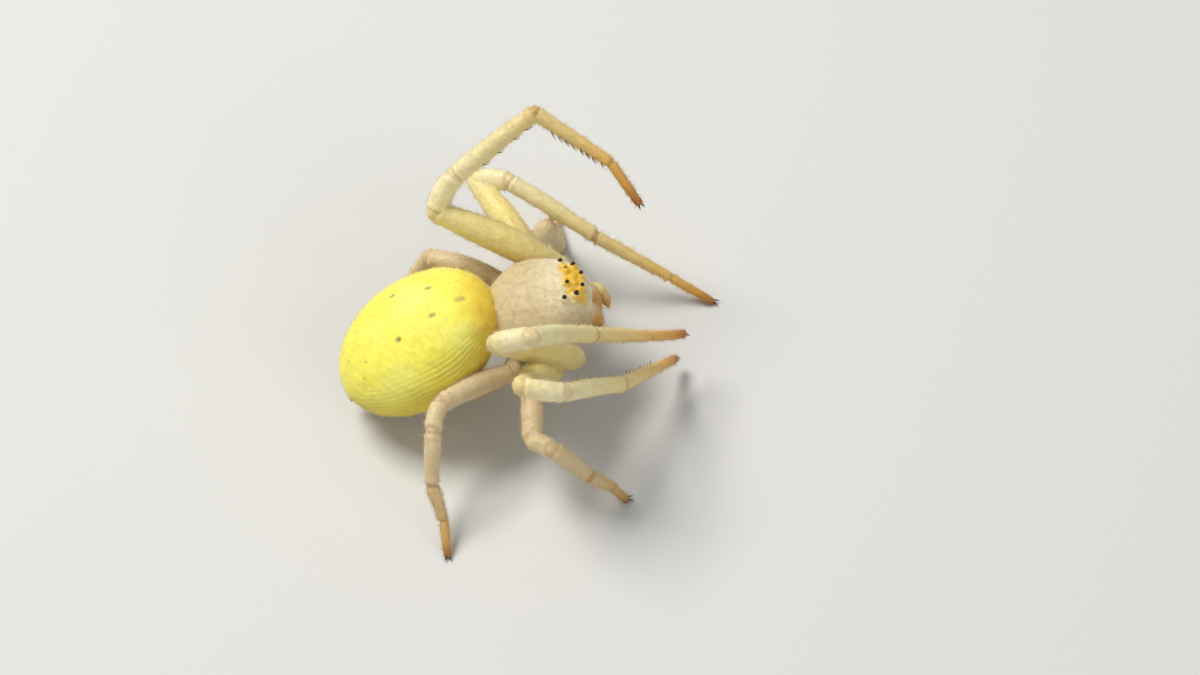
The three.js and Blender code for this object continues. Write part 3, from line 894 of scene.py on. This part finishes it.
def addHairMap(mesh, near):
    u, v = atlasPlace(skinOwner[near], skinShare[near], skinAround[near])
    patch = np.array([(0, 0), (0.5, 0), (1, 0), (0, 0.6), (0.5, 0.6), (1, 0.6), (0.5, 1)])
    spots = (np.stack([u, v], 1)[:, None, :] + patch * atlas["hair"]).reshape(-1, 2)
    spots = spots[gathered(mesh.loops, "vertex_index", 1, np.int64).ravel()]
    mesh.uv_layers.new(name="OFBake").data.foreach_set("uv", spots.astype(np.float32).ravel())


def growHair(name, look):
    count, shape = look["count"], hairShape
    weight = hairWeight(look)
    pick = rng.choice(len(corner), count, p=weight / weight.sum())
    mix = rng.dirichlet((1, 1, 1), count)
    chosen = corner[pick]
    near = chosen[:, 0]
    root = np.einsum("nk,nkc->nc", mix, skinPoints[chosen])
    normal = unit(np.einsum("nk,nkc->nc", mix, skinNormals[chosen]))
    way = aims[skinOwner[near]] + rng.normal(scale=shape["sway"], size=root.shape)
    way = unit(way - normal * (way * normal).sum(1, keepdims=True))
    lift = rng.uniform(*look["lift"], count)[:, None]
    length = rng.uniform(*look["length"], count)[:, None]
    length = length * np.where(skinKind[near] == "prosoma", shape["prosomaLength"], 1.0)[:, None]
    steep = lift + shape["rootLean"]
    start = unit(way * np.cos(steep) + normal * np.sin(steep))
    finish = unit(way * np.cos(lift) + normal * np.sin(lift))
    base = root - normal * shape["sink"]
    middle = root + start * length * 0.5
    across = np.cross(way, normal)
    points = []
    for centre, thick, axis in ((base, 1.0, start), (middle, shape["middle"], finish)):
        rise = np.cross(axis, across)
        for turn in shape["turns"]:
            out = across * math.cos(turn) + rise * math.sin(turn)
            points.append(centre + out * look["radius"] * thick)
    points.append(middle + finish * length * 0.5)
    points = np.stack(points, 1)
    overFloor(points)
    mesh = meshFrom(name, points.reshape(-1, 3), hairFaces(count))
    # each hair copies the skin tint at its root, painted shade on the flanks and folds included
    tone = blend(skinTint[near], np.array(shape["paleTint"]), np.full(count, look["pale"]))
    addLooks(mesh, np.repeat(tone, hairPoints, 0), np.zeros((count * hairPoints, 3)))
    addHairMap(mesh, near)
    smoothShade(mesh)
    made = newObject(name, mesh)
    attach(made, "root")
    return made


hairs = [growHair(name, look) for name, look in hairLooks.items()]
print("hair", [len(h.data.polygons) for h in hairs])

# Hooks: bristles under the fore legs, claws and fangs

hookShape = {"curl": 0.38, "taper": 0.75, "tip": 0.08}
bristleLook = {
    "tibia": 4, "metatarsus": 8, "length": (0.2, 0.34), "radius": 0.024, "spread": 0.5,
    "from": 0.2, "run": 0.74, "jitter": (0.3, 0.7), "seat": 0.93, "forward": (0.7, 1.0),
}
clawLook = {
    "hook": (0.2, 0.034, 8, 8), "splay": 0.35, "sink": 0.05,  # length, radius, rings and sides
    "apart": 0.045, "raise": 0.02, "upward": 0.25, "lowest": -0.02,
}
fangLook = {
    "root": (1.92, 0.4, -0.78), "aim": (-0.1, -0.35, -0.9), "bend": (-0.4, -0.8, 0.1),
    "hook": (0.42, 0.09, 9, 12),
}


def hook(root, aim, bend, length, radius, rings=6, sides=7):
    aim = unit(aim)
    bend = unit(np.asarray(bend, float) - aim * np.dot(aim, bend))
    across = np.cross(aim, bend)
    turn = ringTurns(sides)
    points = []
    for t in np.linspace(0, 1, rings):
        centre = root + aim * length * t + bend * length * hookShape["curl"] * t * t
        lean = unit(aim + bend * 2 * hookShape["curl"] * t)
        rise = np.cross(lean, across)
        thick = radius * (1 - t) ** hookShape["taper"] + radius * hookShape["tip"]
        ring = np.cos(turn)[:, None] * across + np.sin(turn)[:, None] * rise
        points.append(centre + ring * thick)
    return np.concatenate(points), gridFaces(rings, sides)


def bristleRow(leg, segment):
    look, count = bristleLook, bristleLook[segments[segment]]
    t = next(t for t in tubes if t["leg"] is leg and t["place"] == segment)
    under, aim = insideOf(leg, segment), leg["aims"][segment]
    across = np.cross(aim, under)
    made = []
    for i in range(count):
        share = look["from"] + look["run"] * (i + rng.uniform(*look["jitter"])) / count
        radius = float(smoothRadius(t["radii"], share))
        middle = t["start"] + aim * share * t["length"] + t["rise"] * bowAt(t, share)
        for lean in (-look["spread"], look["spread"]):
            out = under * math.cos(lean) + across * math.sin(lean)
            root = middle + out * radius * look["seat"]
            length = rng.uniform(*look["length"])
            way = out + aim * rng.uniform(*look["forward"])
            made.append(hook(root, way, aim, length, look["radius"]))
    return made


def bristleRows():
    made = []
    for leg in legs:
        if leg["name"][1] in "12":
            made += bristleRow(leg, 2) + bristleRow(leg, 3)
    return together(made)


def clawHooks():
    look, made = clawLook, []
    for leg in legs:
        ahead = leg["aims"][-1].copy()
        if pose[leg["name"]][-1][1] is None:
            ahead[2] = max(ahead[2], look["lowest"])
        ahead = unit(ahead)
        side = unit(np.cross(upward, ahead))
        reach = leg["form"]["tarsus"][-1] - look["sink"]
        for way in (-1, 1):
            root = leg["joints"][-1] + ahead * reach + side * way * look["apart"]
            aim = ahead + side * way * look["splay"] + (0, 0, look["upward"])
            made.append(hook(root + (0, 0, look["raise"]), aim, (0, 0, -1), *look["hook"]))
    points, faces = together(made)
    overFloor(points)
    return points, faces


def fangHooks():
    made = []
    for side in (1, -1):
        way = [np.array(fangLook[key]) * (1, side, 1) for key in ("root", "aim", "bend")]
        made.append(hook(*way, *fangLook["hook"]))
    return together(made)


def eyeBalls():
    return together([ovoid(c, (radius,) * 3, *eyeLook["grid"]) for c, radius, _ in seats.values()])


def addPiece(name, made, replaced=()):
    mesh = meshFrom(name, *made)
    smoothShade(mesh)
    piece = newObject(name, mesh)
    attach(piece, "root")
    if replaced:
        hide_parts(*replaced)
    return piece


def nodesOf(start):
    return [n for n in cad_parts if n.startswith(start)]


bristles = addPiece("bristles", bristleRows())
claws = addPiece("clawHooks", clawHooks(), nodesOf("claws_"))
fangs = addPiece("fangHooks", fangHooks())
balls = addPiece("eyeBalls", eyeBalls(), nodesOf("eye_"))
print("hooks and eyes")

# Materials

tintLook = {  # scales are per mm, and pairs are where an effect starts and where it is full
    "mottle": 0.35, "mottleScale": 2.4, "mottleDetail": 4.0, "mottleRange": (0.3, 0.7),
    "mottleTint": (0.86, 0.8, 0.66, 1),
    "web": 0.55, "webScale": 4.2, "webLine": (0.09, 0.02), "webTint": (0.86, 0.78, 0.6, 1),
    "speck": 0.5, "speckScale": 9.0, "speckSize": (0.3, 0.12), "speckTint": (0.42, 0.32, 0.2, 1),
    "scatterScale": 3.1, "scatterDetail": 1.0, "scatterRange": (0.5, 0.62),
    "fineScale": 17.0, "fineDetail": 4.0, "poreScale": 26.0, "poreDetail": 2.0,
    "roughness": 0.62, "shine": 0.32, "unevenness": 0.25,
    "fineHeight": 0.6, "poreHeight": 0.4, "webHeight": 0.8,
}
waxLook = {
    "bump": 0.8, "scatterRadius": (1.0, 0.8, 0.45), "scatterMm": 0.35, "ior": 1.42,
    "skinDepth": 0.02, "skinScatter": 0.35,
}
plainLooks = {  # colour and roughness, in the order of the pieces that use them
    "bristleBrown": ((0.2, 0.09, 0.03), 0.4),
    "clawBlack": ((0.03, 0.018, 0.012), 0.25),
    "fangBrown": ((0.09, 0.03, 0.012), 0.2),
    "eyeGlass": ((0.012, 0.01, 0.012), 0.08),
    "floorPaper": ((0.66, 0.65, 0.62), 0.8),
}


def setInputs(node, values):
    for key, value in values.items():
        node.inputs[key].default_value = value


def newMaterial(name):
    made = bpy.data.materials.new(name)
    made.use_nodes = True
    return made, made.node_tree.nodes["Principled BSDF"]


def plainMaterial(name):
    colour, roughness = plainLooks[name]
    made, shader = newMaterial(name)
    setInputs(shader, {"Base Color": (*colour, 1), "Roughness": roughness})
    return made


def tintGroup():
    look = tintLook
    group = bpy.data.node_groups.new("bodyTint", "ShaderNodeTree")
    group.interface.new_socket("Grain", in_out="INPUT", socket_type="NodeSocketFloat")
    group.interface.new_socket("Color", in_out="OUTPUT", socket_type="NodeSocketColor")
    group.interface.new_socket("Roughness", in_out="OUTPUT", socket_type="NodeSocketFloat")
    group.interface.new_socket("Height", in_out="OUTPUT", socket_type="NodeSocketFloat")
    nodes, links = group.nodes, group.links
    enter, leave = nodes.new("NodeGroupInput"), nodes.new("NodeGroupOutput")
    tint, marks = nodes.new("ShaderNodeAttribute"), nodes.new("ShaderNodeAttribute")
    tint.attribute_name, marks.attribute_name = "tint", "marks"
    parts = nodes.new("ShaderNodeSeparateXYZ")
    links.new(marks.outputs["Vector"], parts.inputs[0])
    where = nodes.new("ShaderNodeTexCoord")
    inMm = nodes.new("ShaderNodeVectorMath")
    inMm.operation = "SCALE"
    inMm.inputs["Scale"].default_value = 1 / mm
    links.new(where.outputs["Object"], inMm.inputs[0])

    def feed(node, sockets):
        for key, value in sockets:
            if isinstance(value, (int, float, tuple)):
                node.inputs[key].default_value = value
            else:
                links.new(value, node.inputs[key])

    def noise(name):
        node = nodes.new("ShaderNodeTexNoise")
        scale, detail = look[name + "Scale"], look[name + "Detail"]
        feed(node, (("Vector", inMm.outputs[0]), ("Scale", scale), ("Detail", detail)))
        return node.outputs["Fac"]

    def cells(name, feature):
        node = nodes.new("ShaderNodeTexVoronoi")
        node.feature = feature
        feed(node, (("Vector", inMm.outputs[0]), ("Scale", look[name + "Scale"])))
        return node.outputs["Distance"]

    def mathNode(operation, a, b, clamp=False):
        node = nodes.new("ShaderNodeMath")
        node.operation, node.use_clamp = operation, clamp
        feed(node, ((0, a), (1, b)))
        return node.outputs[0]

    def times(a, b):
        return mathNode("MULTIPLY", a, b)

    def between(value, start, full):  # smooth step from 0 at start to 1 at full
        node = nodes.new("ShaderNodeMapRange")
        node.interpolation_type = "SMOOTHSTEP"
        ends = (start, full, 0.0, 1.0) if start < full else (full, start, 1.0, 0.0)
        feed(node, zip(("From Min", "From Max", "To Min", "To Max", "Value"), (*ends, value)))
        return node.outputs["Result"]

    def mixed(kind, factor, a, b):  # sockets 6, 7 and output 2 are the node's colours
        node = nodes.new("ShaderNodeMix")
        node.data_type, node.blend_type = "RGBA", kind
        feed(node, ((0, factor), (6, a), (7, b)))
        return node.outputs[2]

    web, grain, shine = parts.outputs
    mottle = times(between(noise("mottle"), *look["mottleRange"]), look["mottle"])
    shade = mixed("MULTIPLY", mottle, tint.outputs["Color"], look["mottleTint"])
    edges = between(cells("web", "DISTANCE_TO_EDGE"), *look["webLine"])
    webMask = times(times(edges, web), look["web"])
    webbed = mixed("MIX", webMask, shade, look["webTint"])
    specks = between(cells("speck", "F1"), *look["speckSize"])
    scatter = between(noise("scatter"), *look["scatterRange"])
    dark = times(times(specks, scatter), times(grain, look["speck"]))
    links.new(mixed("MULTIPLY", dark, webbed, look["speckTint"]), leave.inputs["Color"])
    fine, pores = noise("fine"), noise("pore")
    rough = mathNode("SUBTRACT", look["roughness"], times(shine, look["shine"]))
    uneven = times(mathNode("SUBTRACT", fine, 0.5), look["unevenness"])
    links.new(mathNode("ADD", rough, uneven, True), leave.inputs["Roughness"])
    height = mathNode("ADD", times(fine, look["fineHeight"]), times(pores, look["poreHeight"]))
    height = mathNode("ADD", height, times(webMask, look["webHeight"]))
    links.new(times(height, enter.outputs["Grain"]), leave.inputs["Height"])
    return group


bodyTint = tintGroup()


def waxMaterial(name, grain, depth, scatter):
    made, shader = newMaterial(name)
    nodes, links = made.node_tree.nodes, made.node_tree.links
    effect = nodes.new("ShaderNodeGroup")
    effect.node_tree = bodyTint
    effect.inputs["Grain"].default_value = grain
    links.new(effect.outputs["Color"], shader.inputs["Base Color"])
    links.new(effect.outputs["Roughness"], shader.inputs["Roughness"])
    if depth:
        relief = nodes.new("ShaderNodeBump")
        setInputs(relief, {"Strength": waxLook["bump"], "Distance": depth * mm})
        links.new(effect.outputs["Height"], relief.inputs["Height"])
        links.new(relief.outputs["Normal"], shader.inputs["Normal"])
    setInputs(shader, {
        "Subsurface Weight": scatter, "Subsurface Radius": waxLook["scatterRadius"],
        "Subsurface Scale": waxLook["scatterMm"] * mm, "IOR": waxLook["ior"],
    })
    return made


skinMesh.materials.clear()
skinWax = waxMaterial("skinWax", 1.0, waxLook["skinDepth"], waxLook["skinScatter"])
skinMesh.materials.append(skinWax)
hairWax = waxMaterial("hairWax", 0.0, 0.0, 0.0)
for hair in hairs:
    hair.data.materials.append(hairWax)
for piece, look in zip((bristles, claws, fangs, balls), plainLooks):
    piece.data.materials.append(plainMaterial(look))
print("materials")

# Set, light and camera

photo = {  # pixels, millimetres and degrees
    "size": (1200, 675), "width": 40.0, "middle": (538, 314), "elevation": 50, "roll": 7,
    "distance": 150.0, "sensor": 36, "clip": (0.005, 5),
}
lights = {  # place and size in metres, power in watts
    "key": {"place": (-0.1, 0.08, 0.22), "power": 0.62, "size": 0.12, "colour": (1, 0.98, 0.94)},
    "fill": {"place": (0.16, -0.2, 0.14), "power": 0.22, "size": 0.2, "colour": (0.96, 0.98, 1)},
}
studio = {"floorHalf": 1, "colour": (0.8, 0.85, 0.9, 1), "strength": 0.36}


def addCamera():
    e, r = math.radians(photo["elevation"]), math.radians(photo["roll"])
    ahead = np.array((1.0, 0.0, 0.0))
    rise = np.array((0.0, math.sin(e), math.cos(e)))
    back = np.array((0.0, -math.cos(e), math.sin(e)))
    right = ahead * math.cos(r) - rise * math.sin(r)
    up = ahead * math.sin(r) + rise * math.cos(r)
    scale = photo["width"] / photo["size"][0]
    aside = (photo["size"][0] / 2 - photo["middle"][0]) * scale
    above = (photo["middle"][1] - photo["size"][1] / 2) * scale
    target = right * aside + up * above
    place = (target + back * photo["distance"] + shift) * mm
    data = bpy.data.cameras.new("camera")
    data.sensor_width = photo["sensor"]
    data.lens = photo["sensor"] * photo["distance"] / photo["width"]
    data.clip_start, data.clip_end = photo["clip"]
    made = newObject("camera", data)
    turn = Matrix([[right[i], up[i], back[i]] for i in range(3)])
    made.matrix_world = Matrix.Translation(Vector(place)) @ turn.to_4x4()
    bpy.context.scene.camera = made


def addLight(name, look):
    data = bpy.data.lights.new(name, "AREA")
    data.energy, data.size, data.color = look["power"], look["size"], look["colour"]
    made = newObject(name, data)
    place = Vector(look["place"])
    made.location = place
    made.rotation_mode = "QUATERNION"
    made.rotation_quaternion = (-place).to_track_quat("-Z", "Y")


def addFloor():
    half = studio["floorHalf"]
    mesh = bpy.data.meshes.new("floor")
    corners = [(-half, -half, 0), (half, -half, 0), (half, half, 0), (-half, half, 0)]
    mesh.from_pydata(corners, [], [(0, 1, 2, 3)])
    floor = newObject("floor", mesh)
    floor.data.materials.append(plainMaterial("floorPaper"))


addCamera()
addFloor()
for name, look in lights.items():
    addLight(name, look)
world = bpy.data.worlds.new("studio")
world.use_nodes = True
sky = {"Color": studio["colour"], "Strength": studio["strength"]}
setInputs(world.node_tree.nodes["Background"], sky)
bpy.context.scene.world = world
bpy.context.scene.view_settings.view_transform = "Standard"
